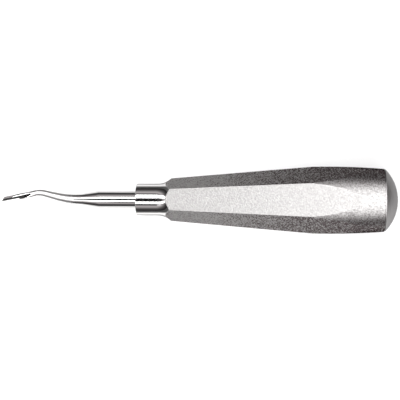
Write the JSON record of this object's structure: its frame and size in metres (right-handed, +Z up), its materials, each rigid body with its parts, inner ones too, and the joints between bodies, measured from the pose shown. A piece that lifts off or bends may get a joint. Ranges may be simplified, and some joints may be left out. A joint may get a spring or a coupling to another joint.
{
  "type": "surgical elevator",
  "caption": "Hand instrument with a bent gouge tip, round polished shank and a thick faceted steel handle with a domed end cap, for levering.",
  "frame": {"origin": "middle of the instrument's box, at the surface that it lies on", "axes": "+X runs the length of the instrument from the blade towards the domed cap, +Y is the side that the bent neck swings out to, +Z is up, away from the handle flat that it lies on"},
  "size_m": [0.1472, 0.0248, 0.0242],
  "materials": {
    "blasted_steel": "bead-blasted stainless steel, with a mirror-polished collar",
    "polished_steel": "mirror-polished stainless steel",
    "satin_steel": "fine satin stainless steel"
  },
  "bodies": {
    "root": {"handle": "blasted_steel", "working_end": "polished_steel", "end_cap": "satin_steel"}
  },
  "joints": []
}
